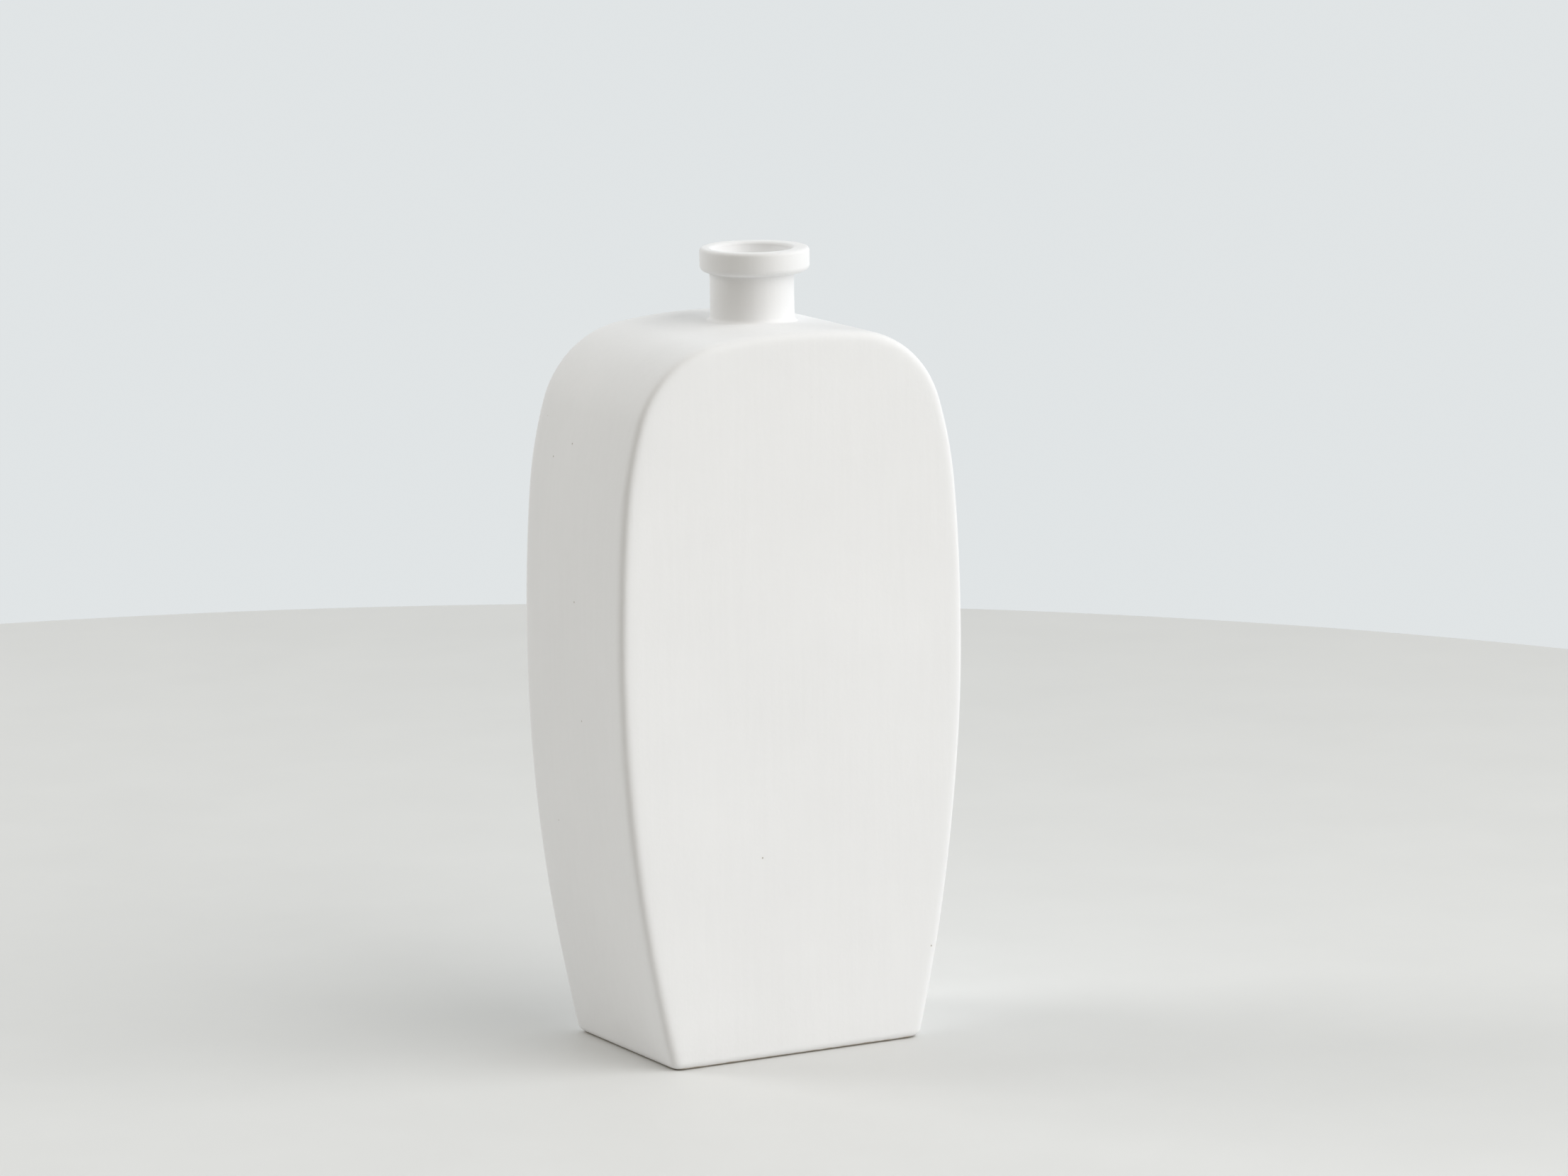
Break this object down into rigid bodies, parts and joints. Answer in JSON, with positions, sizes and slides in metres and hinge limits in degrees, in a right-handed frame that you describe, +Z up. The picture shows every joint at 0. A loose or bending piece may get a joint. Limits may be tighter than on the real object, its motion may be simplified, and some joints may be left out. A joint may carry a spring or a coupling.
{
  "type": "bud vase",
  "caption": "Flat flask-shaped white ceramic bud vase with arched faces, a domed shoulder, a short round neck and a stepped lip.",
  "frame": {"origin": "centre of the foot, on the surface that the vase stands on", "axes": "+Z up, +X along the width, to the right as seen from the front, and the front face looks along -Y"},
  "size_m": [0.097, 0.0524, 0.1994],
  "materials": {
    "glaze": "matt",
    "foot": "matt"
  },
  "bodies": {
    "root": {"front_panel": "glaze", "back_panel": "glaze", "left_wall": "glaze", "right_wall": "glaze", "shoulder": "glaze", "base": "foot", "neck": "glaze", "lip": "glaze"}
  },
  "joints": []
}
